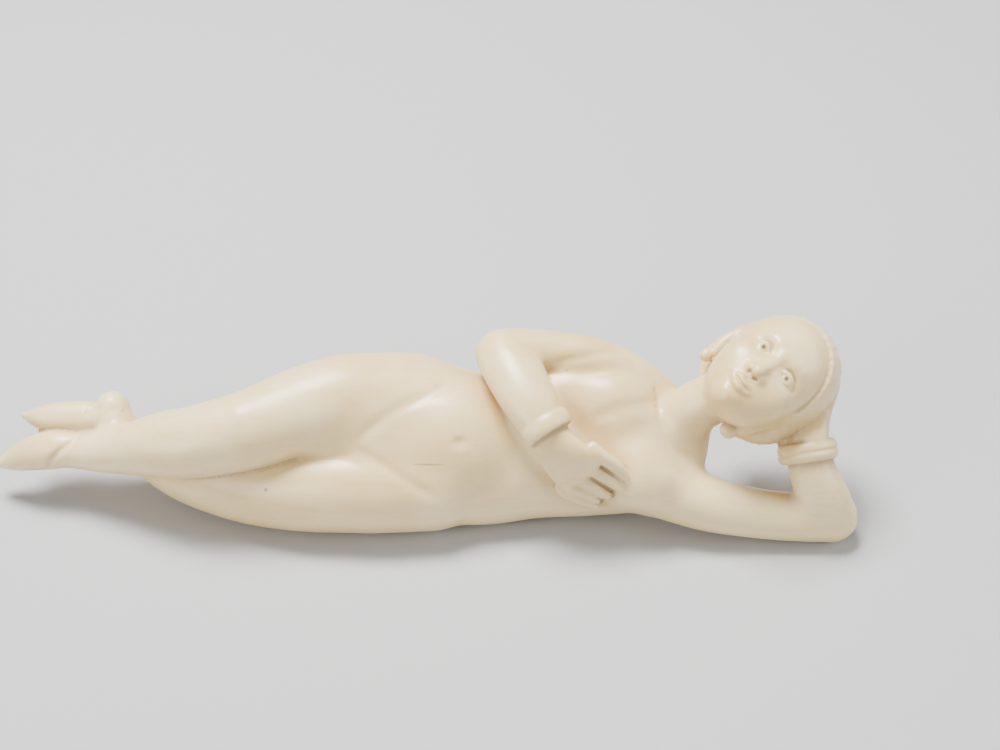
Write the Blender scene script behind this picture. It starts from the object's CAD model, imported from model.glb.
# %% [markdown]
# A small antique ivory: a lady carved in one piece, lying on her left side with her head propped
# on her left hand. This lesson loads the plain solid that holds her size, carves a finer skin over
# a copy of it, and then gives that skin the look of old, handled ivory.
#
# The solid stays the measure of everything: the skin starts as a copy of it, and is carved onto the
# same form with the finer work added.

from math import cos, radians, sin

import bmesh
import bpy
import numpy as np
from mathutils import Matrix, Vector


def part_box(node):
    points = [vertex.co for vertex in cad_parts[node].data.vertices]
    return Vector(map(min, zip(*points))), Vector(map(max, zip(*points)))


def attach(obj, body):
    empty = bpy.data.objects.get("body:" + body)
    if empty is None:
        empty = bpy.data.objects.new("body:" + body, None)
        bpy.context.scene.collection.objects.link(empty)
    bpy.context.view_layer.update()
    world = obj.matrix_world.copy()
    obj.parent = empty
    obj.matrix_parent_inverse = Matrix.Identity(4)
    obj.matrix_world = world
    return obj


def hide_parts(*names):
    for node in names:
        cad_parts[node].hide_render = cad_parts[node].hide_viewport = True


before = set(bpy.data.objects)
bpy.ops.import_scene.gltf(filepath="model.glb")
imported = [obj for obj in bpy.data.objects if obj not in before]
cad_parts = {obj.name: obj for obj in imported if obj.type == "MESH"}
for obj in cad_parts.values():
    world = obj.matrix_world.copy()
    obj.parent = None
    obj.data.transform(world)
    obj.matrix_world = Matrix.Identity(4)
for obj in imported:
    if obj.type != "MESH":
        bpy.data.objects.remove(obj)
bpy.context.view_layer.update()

# %% [markdown]
# A carver thinks in millimetres, so all sizes below are millimetres, and the finished mesh is
# scaled to metres once, at the end. The drawing's zero lies under her waist, a little off the
# middle of her bounding box, and BOX_MIDDLE says how far.
#
# She is rolled toward the viewer, so it helps to have axes that lie along her: from feet to head,
# from her spine to her right side, and from her back to her belly.

# %% Millimetres, and axes that lie along her body
MM = 0.001
BOX_MIDDLE = np.array((-1.06, 0.22, 0.0))
ROLL = radians(48.0)
HEADWARD = np.array((1.0, 0.0, 0.0))
RIGHT = np.array((0.0, sin(ROLL), cos(ROLL)))
FRONT = np.array((0.0, -cos(ROLL), sin(ROLL)))
BODY = np.array((HEADWARD, RIGHT, FRONT))
SPINE = np.array((0.0, 0.0, 10.4))


def unit(vector):
    vector = np.asarray(vector, float)
    return vector / np.linalg.norm(vector)


def on_body(along, right, front):
    """A point placed from the middle of her waist."""
    return SPINE + along * HEADWARD + right * RIGHT + front * FRONT


def body_path(*stations):
    """Stations given along her body, each with its half width."""
    return [(*on_body(*station[:3]), *station[3:]) for station in stations]


print("her front faces", FRONT.round(2))

# %% [markdown]
# The head has its own three axes: toward her left temple, toward her crown, and out through her
# face. With them the face can be drawn straight on, as on a sheet of paper, although the head
# leans on the hand.

# %% Axes that lie along her head
LOOK_DOWN = radians(40.0)
VIEWER = np.array((0.0, -cos(LOOK_DOWN), sin(LOOK_DOWN)))
UPRIGHT = np.array((0.0, sin(LOOK_DOWN), cos(LOOK_DOWN)))
HEAD_LEAN = radians(33.5)
HEAD_MIDDLE = np.array((49.5, 0.8, 22.9))
CROWN_IN_VIEW = unit(cos(HEAD_LEAN) * HEADWARD + sin(HEAD_LEAN) * UPRIGHT)
SIDE_IN_VIEW = unit(-sin(HEAD_LEAN) * HEADWARD + cos(HEAD_LEAN) * UPRIGHT)
FACE = unit(VIEWER + 0.27 * SIDE_IN_VIEW + 0.20 * CROWN_IN_VIEW)
CROWN = unit(CROWN_IN_VIEW - (CROWN_IN_VIEW @ FACE) * FACE)
TEMPLE = np.cross(CROWN, FACE)
HEAD = np.array((TEMPLE, CROWN, FACE))


def on_head(side, up, out):
    """A point placed from the middle of her head, as seen by someone facing her."""
    return HEAD_MIDDLE + side * TEMPLE + up * CROWN + out * FACE


def head_path(*stations):
    """Stations given on her head, each with its half width."""
    return [(*on_head(*station[:3]), *station[3:]) for station in stations]


print("her face looks toward", FACE.round(2))

# %% [markdown]
# How do you describe a carved body in a script? Box modelling would take thousands of hand-placed
# points. A distance field takes a few dozen numbers: each limb is a tube that swells and thins
# along a short list of stations, each rounder mass is an egg, and for any point in space we can
# ask how far it lies from the nearest of them. Where two limbs meet, their distances are blended,
# which gives the soft fillets that an ivory carver's scraper and polishing leave. The last number
# of each join or cut is how soft it is, in millimetres.

# %% Tubes, eggs and the ways to join them
FAR = 4.0          # past this distance a shape no longer blends with others
SPARE = 0.5        # added where the distance is only known to be large
TINY = 1e-6        # keeps a division from failing
TRIALS = 3         # places tried on each span of a curve, before the search for the nearest one
SEARCH_TURNS, LONGEST_STEP = 3, 0.4       # of that search, with its step in spans


def flowing(stations):
    """The cubic spans of a smooth curve through the stations given."""
    given = np.asarray(stations, float)
    if given.shape[1] == 4:
        given = np.hstack([given, given[:, 3:4]])
    ends = np.vstack([2 * given[0] - given[1], given, 2 * given[-1] - given[-2]])
    a, b, c, d = ends[:-3], ends[1:-2], ends[2:-1], ends[3:]
    return 0.5 * np.array((2 * b, c - a, 2 * a - 5 * b + 4 * c - d, 3 * b - 3 * c + d - a))


def on_curve(spans, t):
    """The station at t spans from the start, and which way it changes."""
    span = np.minimum(t.astype(int), spans.shape[1] - 1)
    u = (t - span)[:, None]
    k = spans[:, span]
    return ((k[3] * u + k[2]) * u + k[1]) * u + k[0], (3 * k[3] * u + 2 * k[2]) * u + k[1]


def drawn(stations):
    """The spans of a curve, the places to try along it, and the stations there."""
    spans = flowing(stations)
    trial = np.linspace(0, spans.shape[1], TRIALS * spans.shape[1] + 1)
    return spans, trial, on_curve(spans, trial)[0]


def dot(first, second):
    return (first * second).sum(axis=1)


def box_distance(points, low, high):
    outside = np.maximum(np.maximum(low - points, points - high), 0)
    return np.sqrt(dot(outside, outside))


def far_and_close(points, low, high):
    """A plain distance for points far from a box, and which points are close to it."""
    away = box_distance(points, low, high)
    return away + SPARE, away < FAR


def nearest(here, spans, rows, trial):
    """How many spans from the start each point's nearest place on the curve lies."""
    t = trial[np.argmin(dot(rows, rows) - 2 * here @ rows.T, axis=1)]
    for turn in range(SEARCH_TURNS):
        station, run = on_curve(spans, t)
        step = dot(here - station[:, :3], run[:, :3]) / dot(run[:, :3], run[:, :3])
        t = np.clip(t + np.clip(step, -LONGEST_STEP, LONGEST_STEP), 0, trial[-1])
    return t


def tube(points, stations, wide):
    """Distance to a limb with an oval section, whose width runs along the direction given."""
    spans, trial, rows = drawn(stations)
    reach = rows[:, 3:].max()
    low, high = rows[:, :3].min(axis=0) - reach, rows[:, :3].max(axis=0) + reach
    found, close = far_and_close(points, low, high)
    here = points[close]
    station, run = on_curve(spans, nearest(here, spans, rows[:, :3], trial))
    off = here - station[:, :3]
    axis = run[:, :3] / np.sqrt(dot(run[:, :3], run[:, :3]))[:, None]
    across = wide - (axis @ wide)[:, None] * axis
    across /= np.sqrt(dot(across, across))[:, None]
    through = np.cross(axis, across)
    half_wide, half_thick = station[:, 3], station[:, 4]
    beyond = dot(off, axis) / np.minimum(half_wide, half_thick)
    sideways = (dot(off, across) / half_wide)**2 + (dot(off, through) / half_thick)**2
    share = np.sqrt(sideways + beyond**2) + TINY
    found[close] = (share - 1) * (np.sqrt(dot(off, off)) + TINY * half_wide) / share
    return found


def ball(points, centre, radii, axes=None):
    """Distance to a ball, or to an egg with its three half sizes along three axes."""
    radii = np.broadcast_to(np.asarray(radii, float), (3,))
    found, close = far_and_close(points, centre - radii.max(), centre + radii.max())
    off = points[close] - centre
    along = off if axes is None else off @ axes.T
    share = np.sqrt(((along / radii)**2).sum(axis=1)) + TINY
    size = np.sqrt(dot(off, off)) + TINY * radii.min()
    found[close] = (share - 1) * size / share
    return found


def join(first, second, soft):
    """Two shapes as one, with a soft fillet between them."""
    mix = np.clip(0.5 + 0.5 * (second - first) / soft, 0, 1)
    return second + (first - second) * mix - soft * mix * (1 - mix)


def cut(shape, tool, soft):
    """The first shape with the second one taken out of it."""
    return -join(-shape, tool, soft)


# %% [markdown]
# Two more tools stand for the carver's fine work. A hollow is a thumb-shaped dent, such as the
# navel. A line is a soft cut, or with a negative depth a soft ridge, that follows a path: it makes
# creases, eyelids and the edge of a shoe. Both simply add to the distance, so the surface sinks
# by that much.

# %% Hollows and fine lines
LINE_FADE = 0.6    # spans over which a line fades at each end
LINE_REACH = 2.5   # half widths past which a line no longer shows


def hollow(points, form, centre, radii, depth, axes):
    """Press a soft hollow into a form."""
    share = ((points - centre) @ axes.T) / np.asarray(radii)
    return form + depth * np.exp(-(share**2).sum(axis=1))


def line(points, form, stations, depth):
    """Cut a soft line along a path of (x, y, z, half width), or raise one. Its ends fade away."""
    spans, trial, rows = drawn(stations)
    reach = LINE_REACH * rows[:, 3].max()
    close = box_distance(points, rows[:, :3].min(axis=0), rows[:, :3].max(axis=0)) < reach
    t = nearest(points[close], spans, rows[:, :3], trial)
    station = on_curve(spans, t)[0]
    off = (points[close] - station[:, :3]) / station[:, 3:4]
    fade = np.clip(np.minimum(t, trial[-1] - t) / LINE_FADE, 0, 1)
    marked = form.copy()
    marked[close] += depth * fade * np.exp(-dot(off, off))
    return marked


# %% [markdown]
# The trunk is one oval tube from hips to shoulders. Onto it come two buttocks, the belly, the
# flank that her right arm presses, and two breasts. The fine work is a spine furrow with the two
# shoulder blades beside it, the cleft of the seat, her right collar bone, and the navel.

# %% Her trunk and neck
TRUNK = [(-13.0, 0.3, 11.2, 8.0, 6.5), (-6.5, 0.2, 10.7, 12.0, 8.0), (1.0, 0.0, 10.2, 11.9, 7.9),
         (9.0, 0.0, 9.1, 11.2, 7.2), (16.0, 0.1, 9.0, 10.2, 6.8), (23.0, 0.2, 9.6, 10.4, 6.9),
         (29.5, 0.4, 10.5, 10.6, 6.9), (34.3, 0.4, 10.7, 9.2, 6.0), (37.0, 0.3, 11.5, 6.6, 4.5)]
NECK = [(34.5, 0.4, 12.0, 5.0), (37.4, 0.4, 14.6, 4.2), (39.9, 0.2, 17.7, 3.8),
        (43.2, 0.4, 19.6, 3.8), (46.5, 0.8, 21.0, 4.2)]
BUTTOCKS = [(on_body(-7.0, side * 5.0, -4.6), (7.5, 6.2, 5.7)) for side in (-1, 1)]
BELLY = (on_body(3.5, 0.3, 3.6), (8.0, 7.4, 4.7))
FLANK = (on_body(21.5, 6.4, 2.4), (8.0, 5.4, 4.6))
BREASTS = [(on_body(27.4, 5.2, 3.7), (5.6, 5.2, 4.1)), (on_body(31.2, -4.8, 3.7), (5.6, 5.2, 4.1))]
NAVEL = (on_body(4.9, -0.7, 8.2), (0.85, 0.75, 0.9), 0.5)
SPINE_FURROW = body_path((-2.0, 0.0, -8.4, 1.1), (6.0, 0.0, -7.6, 1.3), (15.0, 0.0, -7.0, 1.3),
                         (25.0, 0.0, -7.0, 1.2), (32.0, 0.0, -6.8, 1.0))
SEAT_CLEFT = body_path((-15.0, 0.0, -6.8, 0.9), (-10.0, 0.0, -9.0, 0.9), (-5.0, 0.0, -9.2, 0.9),
                       (-2.0, 0.0, -8.6, 0.7))
SHOULDER_BLADES = [body_path((31.0, side * 3.4, -6.2, 1.5), (27.0, side * 4.4, -6.4, 1.6),
                             (23.0, side * 4.6, -6.2, 1.3)) for side in (-1, 1)]
CLEAVAGE = [(35.0, 0.8, 18.0, 0.7), (33.2, 0.3, 18.4, 1.0), (30.1, -1.3, 19.0, 1.1),
            (26.9, -2.2, 18.7, 1.1), (23.9, -2.8, 17.2, 0.8)]
ARM_CREASE = [(18.3, 3.6, 22.2, 0.6), (20.0, 4.1, 22.8, 0.8), (22.6, 4.8, 23.0, 0.8),
              (26.7, 6.0, 23.0, 0.7), (29.5, 6.4, 22.6, 0.5)]
COLLAR_BONE = body_path((38.0, 0.6, 5.6, 0.7), (38.0, 3.8, 6.6, 0.8), (37.2, 6.6, 6.6, 0.7))


def trunk(points):
    form = tube(points, TRUNK, RIGHT)
    for buttock in BUTTOCKS:
        form = join(form, ball(points, *buttock, BODY), 3.5)
    form = join(form, ball(points, *BELLY, BODY), 3.0)
    form = join(form, ball(points, *FLANK, BODY), 2.5)
    for breast in BREASTS:
        form = join(form, ball(points, *breast, BODY), 2.2)
    form = hollow(points, form, *NAVEL, BODY)
    form = join(form, tube(points, NECK, RIGHT), 2.0)
    form = line(points, form, SPINE_FURROW, 0.45)
    form = line(points, form, SEAT_CLEFT, 0.8)
    for blade in SHOULDER_BLADES:
        form = line(points, form, blade, -0.35)
    return line(points, form, COLLAR_BONE, -0.3)


print("trunk: 1 tube,", 2 + len(BUTTOCKS) + len(BREASTS), "masses")

# %% [markdown]
# Her legs are nearly straight, the right one over the left, with the ankles crossed. On the real
# piece the carver did not free the feet from each other: the left heel and shoe rise behind the
# right ankle and are left fused to it. The shoes are small, pointed and smooth, each with a cut
# line where the shoe ends on the instep and another where the sole begins.

# %% Her legs and pointed shoes
RIGHT_LEG = [(-2.5, 5.2, 13.8, 7.0, 7.2), (-11.4, 2.6, 16.1, 7.2, 7.0), (-18.3, 0.3, 16.1, 6.7, 6.8),
             (-25.5, -2.6, 15.4, 5.9, 6.0), (-33.3, -3.6, 14.0, 5.3, 5.3), (-38.3, -2.8, 12.6, 4.9, 4.9),
             (-44.4, -1.6, 10.6, 3.8, 3.8), (-48.5, -0.8, 9.4, 3.1, 3.1), (-51.9, -0.2, 8.8, 2.6, 2.6),
             (-54.0, 0.0, 8.8, 2.3, 2.3)]
LEFT_LEG = [(0.4, -5.2, 6.8, 6.8, 6.6), (-7.0, -5.6, 6.9, 6.9, 6.8), (-11.4, -5.5, 6.7, 6.8, 6.8),
            (-18.9, -5.3, 6.3, 6.4, 6.4), (-26.4, -4.1, 5.8, 5.8, 5.8), (-34.3, -1.1, 5.4, 5.2, 5.2),
            (-39.3, 1.0, 5.8, 4.4, 4.4), (-42.8, 2.2, 7.1, 3.4, 3.4), (-46.4, 3.4, 10.0, 2.7, 2.7)]
LEFT_HEEL = [(-46.9, 2.9, 11.2, 2.7), (-47.3, 4.4, 12.2, 2.7), (-47.4, 5.0, 12.9, 2.55)]
LEFT_SHOE = [(-48.6, 4.2, 11.8, 2.4, 2.3), (-52.5, 4.4, 11.4, 2.6, 2.4), (-56.4, 4.5, 11.3, 2.35, 2.1),
             (-59.2, 4.6, 11.5, 1.4, 1.3), (-60.6, 4.6, 11.8, 0.55, 0.55)]
RIGHT_SHOE = [(-52.6, 0.1, 8.9, 2.55, 2.4), (-55.9, 0.3, 8.8, 2.9, 2.5), (-59.5, 0.6, 7.7, 2.6, 2.2),
              (-62.4, 0.8, 6.4, 1.8, 1.6), (-64.4, 0.9, 5.5, 0.9, 0.8)]
SHOE_SIDE = np.array((0.0, 0.643, 0.766))          # a shoe's width runs up and away
HIP_REACH = 16.0                                   # the crease between the legs softens over this
RIGHT_SHOE_OPENING = [(-56.8, -1.9, 7.2, 0.42), (-55.9, -2.2, 8.8, 0.45), (-54.3, -1.7, 10.4, 0.45),
                      (-52.6, -0.6, 11.2, 0.42), (-51.4, 1.0, 11.4, 0.30)]
RIGHT_SOLE = [(-54.5, -0.3, 6.3, 0.28), (-57.6, -1.0, 6.1, 0.28), (-60.4, -0.7, 5.4, 0.26),
              (-63.0, 0.2, 4.9, 0.22)]
LEFT_SHOE_OPENING = [(-50.9, 2.6, 13.0, 0.35), (-50.4, 3.9, 13.9, 0.42), (-49.9, 5.4, 13.9, 0.42),
                     (-49.4, 6.6, 12.9, 0.35)]
LEFT_SOLE = [(-49.0, 6.3, 10.6, 0.26), (-52.5, 6.9, 11.0, 0.28), (-56.4, 6.8, 11.2, 0.28),
             (-59.4, 5.9, 11.5, 0.22)]


def legs(points, form):
    """Her right leg lies over the left; the crease between them softens toward the hip."""
    form = join(form, tube(points, RIGHT_LEG, RIGHT), 3.0)
    toward_hip = np.clip((points[:, 0] + HIP_REACH) / HIP_REACH, 0, 1)
    form = join(form, tube(points, LEFT_LEG, RIGHT), 0.35 + toward_hip)
    left_foot = join(tube(points, LEFT_HEEL, SHOE_SIDE), tube(points, LEFT_SHOE, SHOE_SIDE), 0.45)
    form = join(form, left_foot, 1.4)
    form = join(form, tube(points, RIGHT_SHOE, SHOE_SIDE), 0.3)
    for opening, depth in ((RIGHT_SHOE_OPENING, 0.36), (LEFT_SHOE_OPENING, 0.3)):
        form = line(points, form, opening, depth)
    for sole in (RIGHT_SOLE, LEFT_SOLE):
        form = line(points, form, sole, 0.2)
    return form


print("shoes:", len(RIGHT_SHOE), "and", len(LEFT_SHOE), "stations")

# %% [markdown]
# Two long creases mark the lap. They start together at the fork of the thighs and open toward
# the hips, one over the upper thigh and one down to the ground. Two more run between her breasts
# and along the upper arm. A few fainter forms make the long limbs read as legs: the kneecaps, and
# the hollow beside the shin.

# %% Creases of the lap, and her knees
LAP_CREASES = [
    [(-10.8, -5.9, 15.4, 0.7), (-6.0, -3.6, 18.5, 0.85), (-3.3, -2.0, 19.4, 0.9), (0.6, 0.0, 19.9, 0.9),
     (3.6, 2.2, 20.0, 0.7)],
    [(-10.8, -5.9, 15.4, 0.6), (-6.5, -7.8, 13.6, 0.7), (-1.6, -9.9, 11.2, 0.8), (2.4, -10.8, 9.0, 0.8)]]
KNEECAPS = [body_path((-25.0, 3.0, 11.2, 2.4), (-28.5, 2.6, 10.6, 2.2)),
            body_path((-26.0, -8.6, 5.2, 2.0), (-29.0, -8.4, 4.8, 1.9))]
SHIN_HOLLOW = body_path((-32.0, -1.0, 9.2, 1.4), (-37.0, -0.6, 8.2, 1.3), (-42.0, -0.2, 6.6, 1.1))


def creases(points, form):
    form = line(points, form, CLEAVAGE, 0.3)
    form = line(points, form, ARM_CREASE, 0.3)
    for crease, depth in zip(LAP_CREASES, (0.26, 0.3)):
        form = line(points, form, crease, depth)
    for cap in KNEECAPS:
        form = line(points, form, cap, -0.22)
    return line(points, form, SHIN_HOLLOW, 0.22)


print("lap creases:", len(LAP_CREASES))

# %% [markdown]
# The right arm is folded over her ribs, so the carver left ivory between the forearm and the
# chest instead of cutting it free. The left arm lies on the ground from the shoulder to the elbow
# and comes up again to the head. Only there does the piece open: the gap under her chin goes
# right through.

# %% Her arms
RIGHT_UPPER_ARM = [(36.2, 4.2, 12.0, 4.2), (33.2, 5.1, 14.6, 4.2), (29.2, 6.3, 17.7, 4.0),
                   (24.0, 6.9, 20.3, 3.75), (18.0, 7.1, 21.6, 3.5), (13.3, 6.8, 22.1, 3.7),
                   (11.2, 6.2, 22.3, 3.8)]
RIGHT_FOREARM = [(10.9, 6.4, 22.3, 3.8, 3.4), (12.2, 3.6, 22.5, 4.4, 3.4), (14.2, -1.2, 21.4, 4.1, 3.1),
                 (16.2, -4.7, 19.6, 3.5, 2.8), (17.6, -6.3, 17.8, 3.0, 2.4)]
UNDER_FOREARM = [(14.0, 4.5, 17.5, 4.0), (15.5, -0.5, 16.6, 3.6), (18.2, -4.6, 14.6, 3.0)]
LEFT_UPPER_ARM = [(34.5, -5.4, 6.8, 4.8), (41.0, -7.5, 5.3, 4.1), (48.0, -8.4, 4.2, 3.7),
                  (55.0, -8.7, 3.6, 3.6), (59.5, -8.5, 3.5, 3.7)]
LEFT_FOREARM = [(59.6, -8.4, 3.6, 3.5, 3.5), (58.0, -8.3, 6.8, 3.9, 3.6), (56.5, -7.2, 10.2, 3.5, 3.3),
                (55.3, -5.4, 13.2, 3.1, 2.9)]


def arms(points, form):
    left = join(tube(points, LEFT_UPPER_ARM, RIGHT), tube(points, LEFT_FOREARM, HEADWARD), 0.8)
    right = join(tube(points, RIGHT_UPPER_ARM, RIGHT), tube(points, RIGHT_FOREARM, HEADWARD), 0.6)
    form = join(form, left, 2.2)
    form = join(form, tube(points, UNDER_FOREARM, HEADWARD), 2.0)
    return join(form, right, 0.8)


print("arms:", len(RIGHT_UPPER_ARM) + len(RIGHT_FOREARM), "stations on the right")

# %% [markdown]
# Fingers repeat, so one function makes all five of this hand from a root, a middle joint and a tip.
# Each gets a shallow fold over its joint and a small nail near its tip, which stay almost smooth on
# a piece this size but catch the light from close by.

# %% Her right hand
RIGHT_PALM = [(17.6, -6.2, 17.8, 2.9, 2.3), (19.0, -7.4, 16.0, 3.5, 2.1), (20.6, -8.4, 14.4, 4.0, 1.8),
              (22.1, -8.9, 12.9, 4.1, 1.4)]
RIGHT_KNUCKLES = unit((0.51, 0.0, 0.86))          # from her little finger to her thumb
RIGHT_HAND_BACK = unit((0.10, -0.98, 0.18))       # out of the back of that hand
RIGHT_FINGERS = [((24.9, -8.7, 16.0), (27.3, -8.9, 13.9), (29.1, -9.1, 11.5), 0.95),
                 ((24.2, -9.0, 13.4), (26.5, -9.4, 11.8), (28.8, -9.5, 9.7), 0.95),
                 ((22.6, -9.4, 11.8), (24.5, -9.8, 10.6), (26.2, -9.8, 9.2), 0.90),
                 ((21.1, -9.5, 10.5), (23.0, -9.9, 9.7), (24.7, -9.9, 8.5), 0.86),
                 ((20.3, -9.4, 9.2), (22.6, -9.7, 8.1), (24.8, -9.7, 7.1), 0.80)]
BONE_IN_PALM = 0.42                   # share of the first bone that lies inside the palm
PALM_DEPTH = np.array((0.0, 0.55, 0.0))      # how much deeper that end of the bone sits
MARK_DEPTH = 0.07                     # of the folds and the edges of the nails
FOLD_HALF_WIDTH = 0.16
NAIL_HALF_LENGTH, NAIL_HALF_HEIGHT = 0.75, 0.6
NAIL_EDGE = 0.22                      # share of the nail that its edge takes up


def right_finger(root, middle, tip, half_width):
    """Stations of one finger, begun inside the palm."""
    inside = np.array(root) + BONE_IN_PALM * (np.array(root) - np.array(middle)) + PALM_DEPTH
    return [(*inside, 0.95 * half_width), (*root, 1.06 * half_width), (*middle, half_width),
            (*tip, 0.8 * half_width)]


def finger_marks(points, form, middle, tip, half_width, knuckles, back):
    """A fold over the middle joint, and a nail on the last third of the finger."""
    middle, tip = np.array(middle), np.array(tip)
    over = middle + back * half_width
    fold = [(*(over + side * 0.7 * half_width * knuckles), FOLD_HALF_WIDTH) for side in (-1, 1)]
    form = line(points, form, fold, MARK_DEPTH)
    along = unit(tip - middle)
    nail = tip - 0.1 * along + back * 0.72 * half_width
    radii = (NAIL_HALF_LENGTH, 0.5 * half_width, NAIL_HALF_HEIGHT)
    share = (points - nail) @ np.array((along, knuckles, back)).T / radii
    edge = np.sqrt((share**2).sum(axis=1))
    return form + MARK_DEPTH * np.exp(-((edge - 1.0) / NAIL_EDGE)**2)


def right_hand(points, form, fine):
    hand = tube(points, RIGHT_PALM, RIGHT_KNUCKLES)
    for finger in RIGHT_FINGERS:
        hand = join(hand, tube(points, right_finger(*finger), RIGHT_KNUCKLES), 0.6)
    for root, middle, tip, half_width in RIGHT_FINGERS if fine else []:
        hand = finger_marks(points, hand, middle, tip, half_width, RIGHT_KNUCKLES, RIGHT_HAND_BACK)
    return join(form, hand, 0.35)


print("right hand:", len(RIGHT_FINGERS), "fingers")

# %% [markdown]
# Her left hand holds the head: the palm rises from the wrist, the thumb runs along the nape under
# the ear, and four fingers curve up behind the hair.

# %% Her left hand
LEFT_PALM = [(55.3, -5.4, 13.2, 3.0, 2.8), (55.2, -4.1, 14.9, 3.6, 2.6), (56.0, -1.6, 16.6, 3.5, 2.0),
             (57.0, 0.8, 18.2, 3.4, 1.5)]
LEFT_KNUCKLES = unit((-0.52, 0.57, -0.64))
LEFT_FINGERS = [(0.80, 0.78), (0.95, 0.86), (1.0, 0.90), (0.92, 0.86)]   # share of length, half width
LEFT_FINGER_GAP = 1.75
LEFT_ROW_MIDDLE, LEFT_ROW_START = np.array((56.7, -0.2, 17.6)), 2.7
LEFT_RISE = np.array((1.3, 3.1, 2.4))              # the longest finger's first bone
LEFT_CURL = np.array((-0.5, 2.6, 2.6))             # the same finger's outer bone
LEFT_THUMB = [(55.6, -3.4, 15.0, 1.5), (52.9, -2.6, 14.8, 1.5), (50.2, -1.6, 14.6, 1.4),
              (47.8, -1.0, 14.6, 1.1)]
LEFT_HAND_BACK = unit((0.80, 0.55, -0.25))


def left_finger(number, share, half_width):
    """Root, middle and tip of one finger of the hand that holds her head."""
    root = LEFT_ROW_MIDDLE + LEFT_KNUCKLES * (number * LEFT_FINGER_GAP - LEFT_ROW_START)
    middle = root + share * LEFT_RISE
    tip = middle + share * LEFT_CURL
    return [(*root, 1.05 * half_width), (*middle, half_width), (*tip, 0.82 * half_width)]


def left_hand(points, form):
    hand = tube(points, LEFT_PALM, LEFT_KNUCKLES)
    for number, finger in enumerate(LEFT_FINGERS):
        stations = left_finger(number, *finger)
        hand = join(hand, tube(points, stations, LEFT_KNUCKLES), 0.25)
        hand = finger_marks(points, hand, stations[1][:3], stations[2][:3], stations[1][3],
                            LEFT_KNUCKLES, LEFT_HAND_BACK)
    hand = join(hand, tube(points, LEFT_THUMB, LEFT_KNUCKLES), 0.5)
    return join(form, hand, 0.3)


print("left hand:", len(LEFT_FINGERS), "fingers and a thumb")

# %% [markdown]
# She wears one bangle on each wrist, cut from the same ivory. A bangle is a rounded band that
# follows the oval of the wrist. The left one has a groove round its middle, which makes it look
# like two rings worn together.

# %% Her bangles
# Middle, the way through, half sizes inside, half height, and how far it stands off
RIGHT_BANGLE = ((17.3, -5.7, 18.7), (1.9, -2.3, -1.9), (3.3, 2.8), 1.3, 0.5)
LEFT_BANGLE = ((55.35, -5.1, 13.4), (-0.6, 2.6, 3.0), (3.75, 3.3), 1.45, 0.7)
GROOVE_DEPTH, GROOVE_HALF_WIDTH = 0.22, 0.28


def bangle(points, centre, axis, radii, height, thick, groove=0.0):
    """Distance to a rounded band that stands off a wrist, with a groove of the depth given."""
    centre = np.asarray(centre)
    axis = unit(axis)
    across = unit(HEADWARD - (HEADWARD @ axis) * axis)
    axes = np.array((across, np.cross(axis, across), axis))
    reach = max(radii) + thick + height
    found, close = far_and_close(points, centre - reach, centre + reach)
    local = (points[close] - centre) @ axes.T
    around = local[:, :2]
    share = np.sqrt(((around / radii)**2).sum(axis=1)) + TINY
    outward = (share - 1) * np.sqrt((around**2).sum(axis=1)) / share
    band = np.sqrt((outward / thick)**2 + (local[:, 2] / height)**2)
    found[close] = (band - 1) * thick + groove * np.exp(-(local[:, 2] / GROOVE_HALF_WIDTH)**2)
    return found


def bangles(points, form):
    form = join(form, bangle(points, *RIGHT_BANGLE), 0.2)
    return join(form, bangle(points, *LEFT_BANGLE, groove=GROOVE_DEPTH), 0.25)


print("bangles stand", RIGHT_BANGLE[-1], "and", LEFT_BANGLE[-1], "mm off the wrists")

# %% [markdown]
# The face is a plain, calm one, drawn on the proportions that every drawing book gives: the eyes
# halfway between crown and chin and one eye's width apart, the nose ending halfway from there to
# the chin, and the mouth a third of the way below it. A skull egg and a jaw egg carry it, then
# each feature is laid on: cheeks, eyeballs with two lids, brows, nose with its wings and nostrils,
# lips with a line between them, and a small chin.

# %% Skull, cheeks and eyes
SKULL = (on_head(0.0, 1.8, -1.6), (7.9, 8.6, 8.2))
JAW = (on_head(0.0, -3.7, 1.2), (6.3, 6.3, 5.4))
CHIN = (on_head(0.0, -8.1, 4.3), 1.8)
CHEEK = ((3.6, -2.9, 3.3), (2.5, 2.6, 2.3))
SOCKET = ((2.75, 0.1, 6.0), (2.0, 1.1, 2.4))
SOCKET_DEPTH = 0.8
EYE_OUT, EYE_UP = 2.8, -0.25
EYEBALL = ((EYE_OUT, EYE_UP + 0.1, 4.6), (1.5, 1.15, 1.4))
UPPER_LID = [(1.40, -0.42, 5.60, 0.16), (2.0, 0.18, 5.92, 0.24), (2.8, 0.42, 5.98, 0.28),
             (3.6, 0.18, 5.62, 0.24), (4.25, -0.35, 5.05, 0.16)]
LOWER_LID = [(1.40, -0.42, 5.55, 0.12), (2.1, -0.82, 5.80, 0.15), (3.0, -0.86, 5.74, 0.15),
             (4.25, -0.35, 5.02, 0.12)]
LID_FOLD = [(1.6, 0.60, 5.8, 0.22), (2.8, 1.00, 5.9, 0.24), (4.0, 0.60, 5.3, 0.20)]
BROW = [(1.2, 1.9, 6.1, 0.7), (2.7, 2.4, 6.0, 0.75), (4.6, 1.8, 5.0, 0.65)]


def on_side(side, point):
    """A point of the head on her left (1) or her right (-1), given as on her left."""
    return on_head(side * point[0], *point[1:])


def sided_ball(points, side, place, radii):
    return ball(points, on_side(side, place), radii, HEAD)


def sided_path(side, stations):
    """Stations from the nose outward, on one side of the head."""
    return head_path(*[(side * across, up, out, half) for across, up, out, half in stations])


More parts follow.
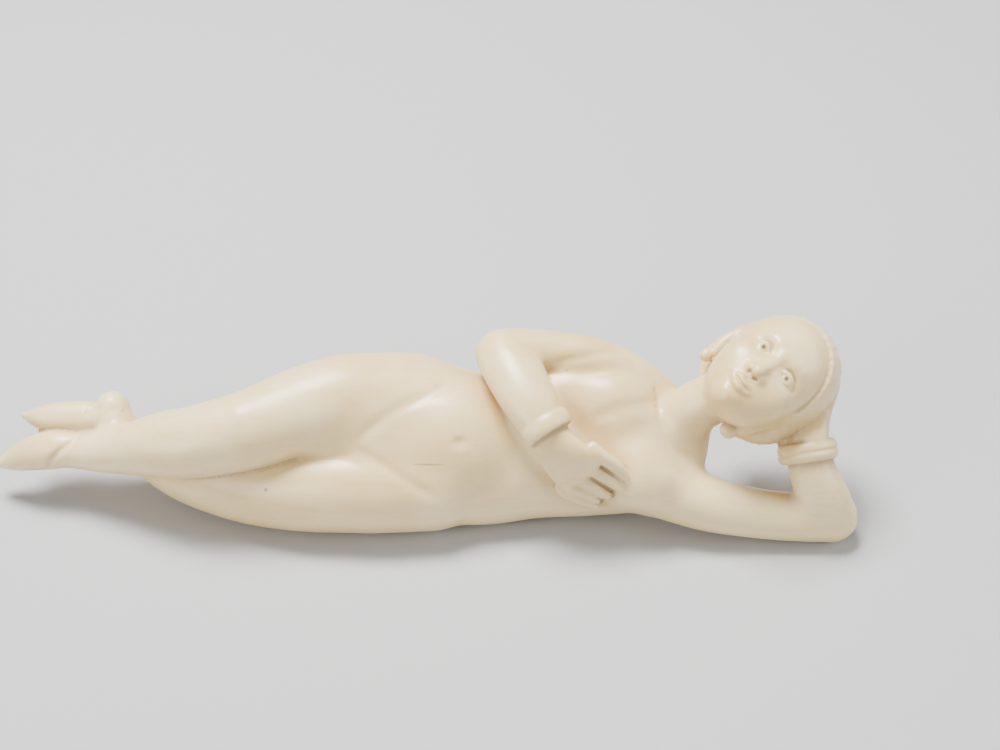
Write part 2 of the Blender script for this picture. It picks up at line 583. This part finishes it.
def skull(points):
    form = join(ball(points, *SKULL, HEAD), ball(points, *JAW, HEAD), 2.2)
    form = join(form, ball(points, *CHIN), 1.5)
    for side in (-1, 1):
        form = join(form, sided_ball(points, side, *CHEEK), 1.5)
    return form


def eye(points, form, side):
    """A shallow hollow with an eyeball, a lowered upper lid, a thin lower one and a brow."""
    form = hollow(points, form, on_side(side, SOCKET[0]), SOCKET[1], SOCKET_DEPTH, HEAD)
    form = join(form, sided_ball(points, side, *EYEBALL), 0.15)
    for lid in (UPPER_LID, LOWER_LID):
        form = join(form, tube(points, sided_path(side, lid), FACE), 0.35)
    form = line(points, form, sided_path(side, LID_FOLD), 0.09)
    return line(points, form, sided_path(side, BROW), -0.14)


print("head:", round(2 * SKULL[1][1]), "mm high without the chin")

# %% Nose and mouth
NOSE = head_path((0.0, 1.3, 5.5, 0.80), (0.0, -0.6, 6.10, 0.72), (0.0, -2.3, 6.65, 0.84),
                 (0.0, -3.3, 6.95, 0.95))
UPPER_LIP = head_path((-1.7, -6.0, 5.8, 0.25), (-0.7, -5.72, 6.30, 0.46), (0.0, -5.84, 6.45, 0.44),
                      (0.7, -5.72, 6.30, 0.46), (1.7, -6.0, 5.8, 0.25))
LOWER_LIP = head_path((-1.4, -6.3, 5.8, 0.25), (-0.5, -6.68, 6.15, 0.52), (0.0, -6.75, 6.20, 0.56),
                      (0.5, -6.68, 6.15, 0.52), (1.4, -6.3, 5.8, 0.25))
MOUTH_LINE = head_path((-1.8, -6.04, 6.1, 0.22), (-0.8, -6.20, 6.6, 0.20), (0.0, -6.28, 6.8, 0.20),
                       (0.8, -6.20, 6.6, 0.20), (1.8, -6.04, 6.1, 0.22))
LIP_GROOVE = head_path((0.0, -4.6, 6.7, 0.32), (0.0, -5.3, 6.7, 0.36))
NOSE_WING = ((0.98, -3.55, 6.25), (0.74, 0.64, 0.9))
NOSTRIL = ((0.62, -4.25, 6.6), (0.34, 0.3, 0.5))
NOSTRIL_DEPTH = 0.3
UNDER_LIP = (on_head(0.0, -7.55, 5.9), (1.2, 0.45, 1.0), 0.12)


def face(points, fine):
    """The head without its hair. The rough one has no eyes, nostrils or lips yet."""
    form = skull(points)
    nose = tube(points, NOSE, TEMPLE)
    for side in (-1, 1):
        nose = join(nose, sided_ball(points, side, *NOSE_WING), 0.4)
    form = join(form, nose, 0.8)
    if not fine:
        return form
    for side in (-1, 1):
        form = eye(points, form, side)
        form = hollow(points, form, on_side(side, NOSTRIL[0]), NOSTRIL[1], NOSTRIL_DEPTH, HEAD)
    form = join(form, tube(points, UPPER_LIP, CROWN), 0.6)
    form = join(form, tube(points, LOWER_LIP, CROWN), 0.5)
    form = line(points, form, MOUTH_LINE, 0.16)
    form = line(points, form, LIP_GROOVE, 0.10)
    return hollow(points, form, *UNDER_LIP, HEAD)


print("the tip of her nose is", 2 * NOSE[-1][3], "mm wide without its wings")

# %% [markdown]
# Her hair is a smooth cap drawn back from the face, over the tops of the ears, to a knot low at
# the back. It is cut as a slightly bigger egg over the skull with a window for the face, which
# leaves the small step at the hairline. Long ear lobes hang below it, each with a round drop.

# %% Hair and ears
HAIR = (on_head(0.3, 2.2, -2.0), (8.3, 8.9, 8.8))
HAIRLINE = (on_head(-1.5, -2.0, 9.6), (11.4, 12.8, 11.4))
KNOT = (on_head(-0.5, -2.5, -10.2), (4.4, 3.8, 3.2))
LEFT_LOCK = head_path((6.4, 1.4, -2.8, 2.6), (6.2, -1.4, -3.6, 2.7), (4.9, -4.0, -4.6, 2.7),
                      (2.4, -5.8, -5.6, 2.5))
RIGHT_LOCK = head_path((-6.0, 2.3, -3.0, 2.6), (-6.6, 0.0, -3.6, 2.7), (-6.5, -3.1, -4.6, 2.7),
                       (-4.6, -5.6, -5.4, 2.4))
LEFT_EAR = head_path((7.1, -0.2, -0.6, 0.8), (6.0, -3.1, -0.6, 1.0), (4.4, -7.6, -0.8, 1.15))
RIGHT_EAR = head_path((-7.6, 0.6, -0.4, 0.8), (-7.7, -2.0, -0.6, 0.95), (-7.2, -4.4, -1.0, 1.0))
EARRINGS = [(on_head(3.5, -9.3, -1.1), 1.3), (on_head(-7.5, -5.7, -0.9), 1.0)]


def hair_cap(points):
    cap = join(ball(points, *HAIR, HEAD), tube(points, LEFT_LOCK, FACE), 1.5)
    cap = join(cap, tube(points, RIGHT_LOCK, FACE), 1.5)
    cap = cut(cap, ball(points, *HAIRLINE, HEAD), 0.45)
    return join(cap, ball(points, *KNOT, HEAD), 0.5)


def ears(points, form):
    form = join(form, tube(points, LEFT_EAR, FACE), 0.3)
    form = join(form, tube(points, RIGHT_EAR, FACE), 0.3)
    for earring in EARRINGS:
        form = join(form, ball(points, *earring), 0.3)
    return form


print("hair cap:", 2 * HAIR[1][1], "mm from nape to crown")

# %% [markdown]
# Now the whole lady is one function of space. The last line cuts her off at the ground with a
# slightly worn edge, so she rests on flat spots under the thigh, the hip and the elbow.

# %% The whole form
GROUND_EDGE = 0.25


def lady(points, fine=True):
    """Distance from each point to the surface, negative inside the ivory."""
    form = trunk(points)
    form = legs(points, form)
    form = arms(points, form)
    form = creases(points, form)
    form = right_hand(points, form, fine)
    form = join(form, face(points, fine), 1.2)
    form = join(form, hair_cap(points), 0.3)
    form = ears(points, form)
    form = left_hand(points, form)
    form = bangles(points, form)
    return cut(form, points[:, 2], GROUND_EDGE)


print("the form at her waist:", lady(SPINE[None])[0].round(2), "mm")

# %% [markdown]
# The skin starts as a copy of the solid, so it can't drift from it. Its doubled points are merged,
# and a voxel remesh turns its long triangles into an even net. Then comes the carving: each point
# asks the form how far off it is and which way is up, and moves there. Between moves the net is
# relaxed along the surface, which keeps the squares even. After three such moves it is remeshed
# and carved again, because the first net still shows the solid's flat facets.

# %% Copy the solid and give it an even net
BODY_NET = 0.52
SAME_POINT = 1e-7        # metres
low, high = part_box("lady_figure")
LOW, HIGH = np.array(low) / MM + BOX_MIDDLE, np.array(high) / MM + BOX_MIDDLE


def copy_in_millimetres(node):
    """A merged copy of a solid."""
    net = bmesh.new()
    net.from_mesh(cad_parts[node].data)
    bmesh.ops.remove_doubles(net, verts=net.verts, dist=SAME_POINT)
    net.transform(Matrix.Translation(Vector(BOX_MIDDLE)) @ Matrix.Scale(1 / MM, 4))
    mesh = bpy.data.meshes.new("lady")
    net.to_mesh(mesh)
    net.free()
    piece = bpy.data.objects.new("lady", mesh)
    bpy.context.scene.collection.objects.link(piece)
    return piece


def keep_result(piece):
    """Turn what a piece's modifiers make into its plain mesh."""
    bpy.context.view_layer.update()
    finished = piece.evaluated_get(bpy.context.evaluated_depsgraph_get())
    piece.data = bpy.data.meshes.new_from_object(finished)
    piece.modifiers.clear()


def even_out(piece, size):
    """Give a piece a fresh net of squares of the size given."""
    remesh = piece.modifiers.new("even_net", "REMESH")
    remesh.mode = "VOXEL"
    remesh.voxel_size = size
    keep_result(piece)


figure = copy_in_millimetres("lady_figure")
even_out(figure, BODY_NET)
print("even net:", len(figure.data.vertices), "points")


# %% Carve a net onto the form
RELAX_SHARE = 0.35       # of the way toward the middle of a point's neighbours
LONGEST_MOVE = 0.5       # millimetres, for one point in one pass
FLATTEST = 0.25          # the least steepness, squared, that a move still trusts


def places(mesh):
    points = np.empty(3 * len(mesh.vertices))
    mesh.vertices.foreach_get("co", points)
    return points.reshape(-1, 3)


def slope(points, form, fine=True, step=0.02):
    """Which way the form's distance grows, and how fast."""
    columns = [(lady(points + step * axis, fine) - form) / step for axis in np.eye(3)]
    return np.column_stack(columns)


def relaxing(mesh, points, normals):
    """A small move along the surface toward the middle of each point's neighbours."""
    edges = np.empty(2 * len(mesh.edges), np.int32)
    mesh.edges.foreach_get("vertices", edges)
    first, second = edges.reshape(-1, 2).T
    total = np.zeros_like(points)
    count = np.zeros(len(points))
    for here, there in ((first, second), (second, first)):
        np.add.at(total, here, points[there])
        np.add.at(count, here, 1)
    move = total / count[:, None] - points
    return move - dot(move, normals)[:, None] * normals


def carve(mesh, passes, fine=True):
    """Move every point onto the form, and keep the net even in between."""
    points = places(mesh)
    for turn in range(passes):
        form = lady(points, fine)
        rise = slope(points, form, fine)
        steep = np.maximum(dot(rise, rise), FLATTEST)
        points -= np.clip(form / steep, -LONGEST_MOVE, LONGEST_MOVE)[:, None] * rise
        if turn < passes - 1:
            points += RELAX_SHARE * relaxing(mesh, points, rise / np.sqrt(steep)[:, None])
    mesh.vertices.foreach_set("co", points.ravel())
    mesh.update()


carve(figure.data, 3, fine=False)
even_out(figure, BODY_NET)
carve(figure.data, 2, fine=False)
print("roughed out:", len(figure.data.vertices), "points")

# %% [markdown]
# Smooth limbs need few points, but a nostril or a fingernail needs many. So the net is halved
# where the fine work is, round the head, the hands, the shoes and the crease between the legs,
# halved once more over the face and the right fingers, and carved again each time.
#
# Lips and eyelids need one more trick. A point that starts inside a lip doesn't know which way is
# out, and may slide off sideways. So the face is lifted a millimetre off the rough head and then
# lowered straight down onto the finished one, like a sheet of dough onto a mould.

# %% Halve the net where the fine work is
HEAD_PLACE = ((50.5, 0.5, 22.0), 13.0)
FACE_PLACE = (on_head(0.0, -2.0, 6.0), 5.8)
HAND_PLACES = [((23.5, -8.8, 12.5), 8.0), ((17.3, -5.7, 18.7), 5.0), ((56.0, -3.0, 15.5), 7.0)]
FINGERS_PLACE = ((25.6, -9.8, 10.8), 4.6)
SHOES_PLACE = ((-55.5, 2.5, 9.5), 8.0)
LEG_CREASE = [(-14.0, -7.5, 12.0), (-20.0, -8.0, 11.2), (-26.0, -7.7, 10.5), (-32.0, -6.7, 9.5),
              (-38.0, -4.5, 8.2)]
LEG_CREASE_REACH = 4.0
FINE_PLACES = [HEAD_PLACE, *HAND_PLACES, SHOES_PLACE, *[(place, LEG_CREASE_REACH) for place in LEG_CREASE]]
FINEST_PLACES = [FACE_PLACE, FINGERS_PLACE]
LIFT = 1.0               # millimetres that the face is lifted before it is lowered
LOWER_SHARE = 0.85       # of the way still to go, lowered in each pass
LOWER_PASSES = 14


def halve(mesh, around):
    """Halve the edges of a net inside some balls."""
    points = places(mesh)
    inside = np.zeros(len(points), bool)
    for centre, reach in around:
        inside |= dot(points - centre, points - centre) < reach**2
    net = bmesh.new()
    net.from_mesh(mesh)
    net.verts.ensure_lookup_table()
    edges = [edge for edge in net.edges if inside[edge.verts[0].index] and inside[edge.verts[1].index]]
    bmesh.ops.subdivide_edges(net, edges=edges, cuts=1, use_grid_fill=True)
    bmesh.ops.triangulate(net, faces=[side for side in net.faces if len(side.verts) > 4])
    net.to_mesh(mesh)
    net.free()


def press_face(mesh, centre, reach):
    """Lower the face onto the form from outside, straight along the rough face's normals."""
    points = places(mesh)
    inside = dot(points - centre, points - centre) < reach**2
    here = points[inside]
    outward = slope(here, lady(here, fine=False), fine=False)
    outward /= np.sqrt(dot(outward, outward))[:, None]
    here = here + LIFT * outward
    for turn in range(LOWER_PASSES):
        here -= LOWER_SHARE * lady(here)[:, None] * outward
    points[inside] = here
    mesh.vertices.foreach_set("co", points.ravel())


halve(figure.data, FINE_PLACES)
carve(figure.data, 3, fine=False)
halve(figure.data, FINEST_PLACES)
carve(figure.data, 2, fine=False)
press_face(figure.data, *FACE_PLACE)
carve(figure.data, 1)
print("fine net:", len(figure.data.vertices), "points,",
      sum(len(side.vertices) - 2 for side in figure.data.polygons), "triangles")

# %% [markdown]
# A finish needs to know where it is. Old ivory is pale and polished where hands touch it, and
# keeps a brown bloom in its creases. The form can tell one from the other: step off the surface
# by a few tenths of a millimetre, and over a plain stretch the distance grows by just that much,
# but in a crease the far wall comes nearer instead. The difference is kept on each point as
# "crease" for narrow cuts and "nook" for wide hollows. Two more values mark the hair, and the
# angle along which it is combed.

# %% Keep on each point what the finish needs
CREASE_STEP, NOOK_STEP = 0.5, 2.6
HAIR_EDGE = 0.12         # the hair mark fades out over this
COMB_FAN = 1.5           # the strokes fan out from this far under the middle of her head


def keep_value(mesh, name, values):
    attribute = mesh.attributes.new(name, "FLOAT", "POINT")
    attribute.data.foreach_set("value", values.astype(np.float32))


def mark_surface(mesh):
    points = places(mesh)
    rise = slope(points, lady(points))
    outward = rise / np.sqrt(np.maximum(dot(rise, rise), TINY))[:, None]
    for name, step in (("crease", CREASE_STEP), ("nook", NOOK_STEP)):
        keep_value(mesh, name, np.clip(1.0 - lady(points + step * outward) / step, 0, 1))
    local = (points - HEAD_MIDDLE) @ HEAD.T
    keep_value(mesh, "hair", np.clip(1.0 - hair_cap(points) / HAIR_EDGE, 0, 1))
    keep_value(mesh, "combed", np.arctan2(local[:, 0], local[:, 1] + COMB_FAN))


mark_surface(figure.data)
print("kept:", [attribute.name for attribute in figure.data.attributes])

# %% [markdown]
# The hair is scratched with fine strokes that all run from the face to the knot. Strokes that
# follow a surface and repeat are work for Geometry Nodes: the tree reads the hair mark and the
# combing angle, makes a wave of as many strokes as asked, and sinks the surface along its normal.
# Its sizes are inputs of the modifier, so the strokes can be made finer without touching the tree.

# %% Comb the hair with Geometry Nodes
def comb_tree(material):
    tree = bpy.data.node_groups.new("combed_strokes", "GeometryNodeTree")
    tree.interface.new_socket("Geometry", in_out="INPUT", socket_type="NodeSocketGeometry")
    strokes = tree.interface.new_socket("Strokes", in_out="INPUT", socket_type="NodeSocketFloat")
    depth = tree.interface.new_socket("Depth", in_out="INPUT", socket_type="NodeSocketFloat")
    tree.interface.new_socket("Geometry", in_out="OUTPUT", socket_type="NodeSocketGeometry")
    nodes, links = tree.nodes, tree.links
    given = nodes.new("NodeGroupInput")
    result = nodes.new("NodeGroupOutput")

    def kept(name):
        node = nodes.new("GeometryNodeInputNamedAttribute")
        node.data_type = "FLOAT"
        node.inputs["Name"].default_value = name
        return node.outputs["Attribute"]

    def maths(operation, first, second=None):
        node = nodes.new("ShaderNodeMath")
        node.operation = operation
        for socket, value in zip(node.inputs, (first, second)):
            if isinstance(value, bpy.types.NodeSocket):
                links.new(value, socket)
            elif value is not None:
                socket.default_value = value
        return node.outputs[0]

    wave = maths("SINE", maths("MULTIPLY", kept("combed"), given.outputs["Strokes"]))
    sink = maths("MULTIPLY", maths("MULTIPLY", wave, kept("hair")), given.outputs["Depth"])
    normal = nodes.new("GeometryNodeInputNormal")
    along = nodes.new("ShaderNodeVectorMath")
    along.operation = "SCALE"
    links.new(normal.outputs["Normal"], along.inputs[0])
    links.new(sink, along.inputs["Scale"])
    move = nodes.new("GeometryNodeSetPosition")
    links.new(given.outputs["Geometry"], move.inputs["Geometry"])
    links.new(along.outputs["Vector"], move.inputs["Offset"])
    real = nodes.new("GeometryNodeRealizeInstances")
    finish = nodes.new("GeometryNodeSetMaterial")
    finish.inputs["Material"].default_value = material
    links.new(move.outputs["Geometry"], real.inputs["Geometry"])
    links.new(real.outputs["Geometry"], finish.inputs["Geometry"])
    links.new(finish.outputs["Geometry"], result.inputs["Geometry"])
    return tree, {"Strokes": strokes.identifier, "Depth": depth.identifier}


def comb(piece, material, **sizes):
    """Run the tree on a piece and keep its result as a plain mesh."""
    tree, names = comb_tree(material)
    modifier = piece.modifiers.new("comb", "NODES")
    modifier.node_group = tree
    for name, value in sizes.items():
        modifier[names[name]] = value
    keep_result(piece)


STROKES = 46.0          # round the whole head
STROKE_DEPTH = 0.035
ivory = bpy.data.materials.new("old_ivory")
comb(figure, ivory, Strokes=STROKES, Depth=STROKE_DEPTH)
print("combed:", len(figure.data.vertices), "points")

# %% [markdown]
# The skin is finished, so it goes back to metres and into its place. The few points that stand
# a hair's breadth outside the solid's box are laid onto its sides.

# %% Put her in her place
def settle(piece):
    points = np.clip(places(piece.data), LOW, HIGH)
    piece.data.vertices.foreach_set("co", ((points - BOX_MIDDLE) * MM).ravel())
    piece.data.shade_smooth()
    piece.data.update()


settle(figure)
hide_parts("lady_figure")
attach(figure, "root")
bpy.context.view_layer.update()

# %% [markdown]
# Materials are built from a small vocabulary. A Value holds a socket, and adding or multiplying
# values adds the Math nodes, so a stain can be written as a formula. Every other node comes from
# one method that takes its type, its settings and what goes into it.

# %% A small vocabulary for shader nodes
class Value:
    """A shader socket that can be used in a formula."""

    def __init__(self, tree, socket):
        self.tree = tree
        self.socket = socket

    def node(self, kind, settings, inputs, output=0):
        """Add a node of any type. Inputs are named or numbered, and hold numbers or Values."""
        node = self.tree.nodes.new(kind)
        for name, setting in settings.items():
            if name == "stops":
                set_stops(node.color_ramp, setting)
            else:
                setattr(node, name, setting)
        for name, value in inputs.items():
            if isinstance(value, Value):
                self.tree.links.new(value.socket, node.inputs[name])
            else:
                node.inputs[name].default_value = value
        return Value(self.tree, node.outputs[output])

    def maths(self, operation, first, second, clamp=False):
        settings = {"operation": operation, "use_clamp": clamp}
        return self.node("ShaderNodeMath", settings, {0: first, 1: second})

    def __add__(self, other):
        return self.maths("ADD", self, other)

    def __mul__(self, other):
        return self.maths("MULTIPLY", self, other)

    def __sub__(self, other):
        return self.maths("SUBTRACT", self, other)

    def __rsub__(self, other):
        return self.maths("SUBTRACT", other, self)

    __radd__ = __add__
    __rmul__ = __mul__

    def clamped(self):
        return self.maths("ADD", self, 0.0, clamp=True)

    def between(self, low, high):
        """0 below the first value, 1 above the second, and smooth in between."""
        sizes = {"Value": self, "From Min": low, "From Max": high, "To Min": 0.0, "To Max": 1.0}
        return self.node("ShaderNodeMapRange", {"interpolation_type": "SMOOTHSTEP"}, sizes)

    def tinted(self, colour, share):
        """This colour, mixed toward another one."""
        settings = {"data_type": "RGBA"}
        return self.node("ShaderNodeMix", settings, {0: share, 6: self, 7: (*colour, 1.0)}, 2)

    def multiplied(self, colour, share):
        settings = {"data_type": "RGBA", "blend_type": "MULTIPLY"}
        return self.node("ShaderNodeMix", settings, {0: share, 6: self, 7: (*colour, 1.0)}, 2)


def set_stops(ramp, stops):
    while len(ramp.elements) < len(stops):
        ramp.elements.new(0.5)
    for element, (place, colour) in zip(ramp.elements, stops):
        element.position = place
        element.color = (*colour, 1.0)


print("a Value knows", len([name for name in vars(Value) if not name.startswith("_")]), "named methods")

# %% [markdown]
# Ivory is dentine: dense, creamy, a little translucent, with a fine grain that runs the length of
# the tusk. Light goes in and comes out warm, which subsurface scattering does. The polish is soft,
# so the gloss is low and broken up by the grain. The patterns read object coordinates in metres,
# so each scale below is a number of features in a metre.

# %% Where on the ivory a pattern lies
def ivory_patterns(tree):
    start = Value(tree, None)
    place = start.node("ShaderNodeTexCoord", {}, {}, "Object")

    def stretched(scale, turn=(0.0, 0.0, 0.0)):
        return start.node("ShaderNodeMapping", {}, {"Vector": place, "Scale": scale, "Rotation": turn})

    def noise(vector, scale, detail, roughness=0.55):
        sizes = {"Vector": vector, "Scale": scale, "Detail": detail, "Roughness": roughness}
        return start.node("ShaderNodeTexNoise", {}, sizes)

    def kept(name):
        return start.node("ShaderNodeAttribute", {"attribute_name": name}, {}, "Fac")

    return start, place, stretched, noise, kept


print("patterns read object coordinates and the kept values")

# %% [markdown]
# Four small things give the piece its age: a hairline crack on her belly, a few specks, the ink
# that fills the pupils, and a honey-coloured bloom where fingers never polish, as between the
# cheek, the hand and the neck. Each is found by its distance to a place on the body, worked out
# in the shader from the object coordinates.

# %% Places with marks of their own
CRACK_ENDS = ((-1.9, -8.2, 13.7), (2.7, -8.3, 13.75))
CRACK_HALF_WIDTH = 0.09
SPECKS = [((-23.1, -9.6, 10.0), 0.28), ((-14.5, -10.4, 12.2), 0.16), ((36.1, -8.9, 14.2), 0.15),
          ((20.4, 3.4, 21.6), 0.13)]                  # place, reach
SPECK_SOFT = 0.10
PUPIL_OUT, PUPIL, PUPIL_SOFT = 6.0, 0.33, 0.14
# Place, reach, strength
BLOOM_PLACES = [(on_head(6.5, -5.0, -1.5), 9.5, 1.0), ((41.0, -1.0, 15.5), 7.0, 0.8),
                ((24.0, -10.0, 8.0), 7.0, 0.45), ((-46.0, 1.0, 8.0), 6.0, 0.35),
                ((8.0, -9.0, 10.0), 7.0, 0.35)]


def away_from(place, point):
    """Distance in metres from the shaded point to a place given in millimetres."""
    ends = {0: place, 1: tuple((np.asarray(point) - BOX_MIDDLE) * MM)}
    return place.node("ShaderNodeVectorMath", {"operation": "DISTANCE"}, ends, "Value")


def near(place, point, reach, soft):
    """1 within the reach of a place, fading to 0."""
    return 1.0 - away_from(place, point).between((reach - soft) * MM, (reach + soft) * MM)


def near_line(place, ends, half_width):
    """1 close to a straight line between two places: two distances add up to its length there."""
    first, second = (away_from(place, end) for end in ends)
    length = float(np.linalg.norm(np.subtract(*ends))) * MM
    spare = 2.0 * (half_width * MM)**2 / length
    return 1.0 - (first + second - length).between(spare * 0.5, spare * 4.0)


print("marks:", len(SPECKS), "specks and", len(BLOOM_PLACES), "blooms")

# %% [markdown]
# The colour is layered as age layers it: a cream ground, broad warm clouds, the fine grain, the
# bloom in nooks, brown dirt in the narrow cuts, and last the dark marks. Base Color, Roughness
# and the bump are the only things that change over the surface. The translucency is the same all
# over, so its numbers sit on the shader's own sockets.

# %% Colours and scales of old ivory
CREAM = (0.80, 0.58, 0.26)
PALE = (0.90, 0.74, 0.42)
GRAIN_SHADE = (0.93, 0.87, 0.76)
RING_SHADE = (0.95, 0.90, 0.80)
HONEY = (0.52, 0.29, 0.07)
DIRT = (0.23, 0.15, 0.08)
STROKE_SHADE = (0.86, 0.76, 0.58)
INK = (0.035, 0.028, 0.022)

CLOUDS, RINGS, DIRT_PATCHES, GRAIN = 55.0, 420.0, 900.0, 1500.0       # in a metre
ALONG_THE_GRAIN, ALONG_THE_RINGS = (0.10, 1.0, 1.0), (0.05, 0.6, 1.0)
RINGS_TURN = (radians(20.0), 0.0, 0.0)
FINE_STROKES, STROKES_WANDER = 190.0, 6.0          # round the whole head
BUMP_DEPTH = 0.00004                               # metres
# How deep light goes in, and how the polish looks: the same all over
BODY_OF_IVORY = {"Subsurface Weight": 0.25, "Subsurface Radius": (1.0, 0.62, 0.34),
                 "Subsurface Scale": 0.0006, "IOR": 1.54, "Coat Weight": 0.12, "Coat Roughness": 0.22}
print("colours from", PALE, "to", INK)


# %% Old ivory
def marked(place, colour):
    """The colour with its crack, specks and pupils, and how strong the first two are."""
    marks = near_line(place, CRACK_ENDS, CRACK_HALF_WIDTH) * 0.5
    for point, reach in SPECKS:
        marks = marks + near(place, point, reach, SPECK_SOFT) * 0.7
    colour = colour.tinted(DIRT, marks.clamped())
    for side in (-1, 1):
        pupil = near(place, on_head(side * EYE_OUT, EYE_UP, PUPIL_OUT), PUPIL, PUPIL_SOFT)
        colour = colour.tinted(INK, pupil * 0.85)
    return colour, marks


def finish_ivory(material):
    material.use_nodes = True
    tree = material.node_tree
    shader = tree.nodes["Principled BSDF"]
    start, place, stretched, noise, kept = ivory_patterns(tree)
    crease, nook, hair, combed = kept("crease"), kept("nook"), kept("hair"), kept("combed")

    clouds = noise(place, CLOUDS, 3.0)
    grain = noise(stretched(ALONG_THE_GRAIN), GRAIN, 3.0)
    rings = noise(stretched(ALONG_THE_RINGS, RINGS_TURN), RINGS, 2.0)
    colour = start.node("ShaderNodeValToRGB", {"stops": [(0.30, CREAM), (0.70, PALE)]}, {"Fac": clouds})
    colour = colour.multiplied(GRAIN_SHADE, grain.between(0.45, 0.75) * 0.5)
    colour = colour.multiplied(RING_SHADE, rings.between(0.50, 0.70) * 0.5)

    bloom = nook * 0.8
    for point, reach, strength in BLOOM_PLACES:
        bloom = bloom + near(place, point, 0.55 * reach, 0.45 * reach) * strength * 0.6
    bloom = (bloom * (0.45 + clouds)).clamped()
    colour = colour.tinted(HONEY, bloom * 0.5)
    dirt = (crease.between(0.12, 0.8) * (0.5 + noise(place, DIRT_PATCHES, 2.0))).clamped()
    colour = colour.tinted(DIRT, dirt * 0.55)
    strokes = start.maths("SINE", combed * FINE_STROKES + clouds * STROKES_WANDER, 0.0)
    colour = colour.multiplied(STROKE_SHADE, strokes.between(0.2, 1.0) * hair * 0.25)
    colour, marks = marked(place, colour)
    tree.links.new(colour.socket, shader.inputs["Base Color"])

    rough = 0.30 + grain * 0.10 + dirt * 0.30 + clouds.between(0.4, 0.8) * 0.08
    tree.links.new(rough.socket, shader.inputs["Roughness"])
    height = grain * 0.35 + rings * 0.3 + strokes * hair * 0.6 - marks * 1.5
    bump = start.node("ShaderNodeBump", {}, {"Strength": 0.35, "Distance": BUMP_DEPTH, "Height": height})
    tree.links.new(bump.socket, shader.inputs["Normal"])
    for name, value in BODY_OF_IVORY.items():
        shader.inputs[name].default_value = value


finish_ivory(ivory)
print("ivory:", len(ivory.node_tree.nodes), "nodes")

# %% [markdown]
# The setting is a plain pale floor under soft studio lights: one strong window light from above and
# behind, which brings out her forms, weaker ones from the left and the right, and a low grey world
# so that no side goes black.

# %% Floor and lights
FLOOR_SIZE, FLOOR_DROP = 3.0, 0.00005          # metres
FLOOR_GREY = (0.45, 0.45, 0.45, 1.0)
SKY_GREY = (0.80, 0.82, 0.86, 1.0)
WINDOWS = {"window_above": ((-0.10, 0.14, 0.55), 0.22, 10.0),       # place, size, watts
           "window_left": ((-0.50, -0.45, 0.35), 0.40, 3.6),
           "window_right": ((0.55, -0.10, 0.30), 0.40, 2.4)}


def plain_floor():
    mesh = bpy.data.meshes.new("floor")
    net = bmesh.new()
    bmesh.ops.create_grid(net, x_segments=1, y_segments=1, size=FLOOR_SIZE / 2,
                          matrix=Matrix.Translation((0.0, 0.0, -FLOOR_DROP)))
    net.to_mesh(mesh)
    net.free()
    floor = bpy.data.objects.new("floor", mesh)
    bpy.context.scene.collection.objects.link(floor)
    pale = bpy.data.materials.new("pale_floor")
    pale.use_nodes = True
    shader = pale.node_tree.nodes["Principled BSDF"]
    shader.inputs["Base Color"].default_value = FLOOR_GREY
    shader.inputs["Roughness"].default_value = 0.8
    mesh.materials.append(pale)
    return floor


def window_light(name, place, size, watts, aim=(0.0, 0.0, 0.01)):
    light = bpy.data.lights.new(name, "AREA")
    light.size = size
    light.energy = watts
    holder = bpy.data.objects.new(name, light)
    bpy.context.scene.collection.objects.link(holder)
    holder.location = place
    holder.rotation_euler = (Vector(aim) - Vector(place)).to_track_quat("-Z", "Y").to_euler()


floor = plain_floor()
for name, (place, size, watts) in WINDOWS.items():
    window_light(name, place, size, watts)
world = bpy.data.worlds.new("studio")
bpy.context.scene.world = world
world.use_nodes = True
sky = world.node_tree.nodes["Background"]
sky.inputs["Color"].default_value = SKY_GREY
sky.inputs["Strength"].default_value = 0.28

# %% [markdown]
# The camera looks down on her front, aimed a little headward of her waist, from as close as one
# holds such a piece to study it.

# %% Camera
AIM = (11.76, 6.21, 18.2)          # millimetres from the middle of her box
CAMERA_AWAY = 247.6
LENS, SENSOR_WIDTH = 60.0, 36.0
NEAREST_SEEN = 0.01                # metres

camera_data = bpy.data.cameras.new("camera")
camera_data.lens = LENS
camera_data.sensor_width = SENSOR_WIDTH
camera_data.clip_start = NEAREST_SEEN
camera = bpy.data.objects.new("camera", camera_data)
bpy.context.scene.collection.objects.link(camera)
camera.location = Vector(AIM) * MM + Vector(VIEWER) * CAMERA_AWAY * MM
camera.rotation_euler = (radians(90.0) - LOOK_DOWN, 0.0, 0.0)
bpy.context.scene.camera = camera
print("camera at", [round(value, 4) for value in camera.location])
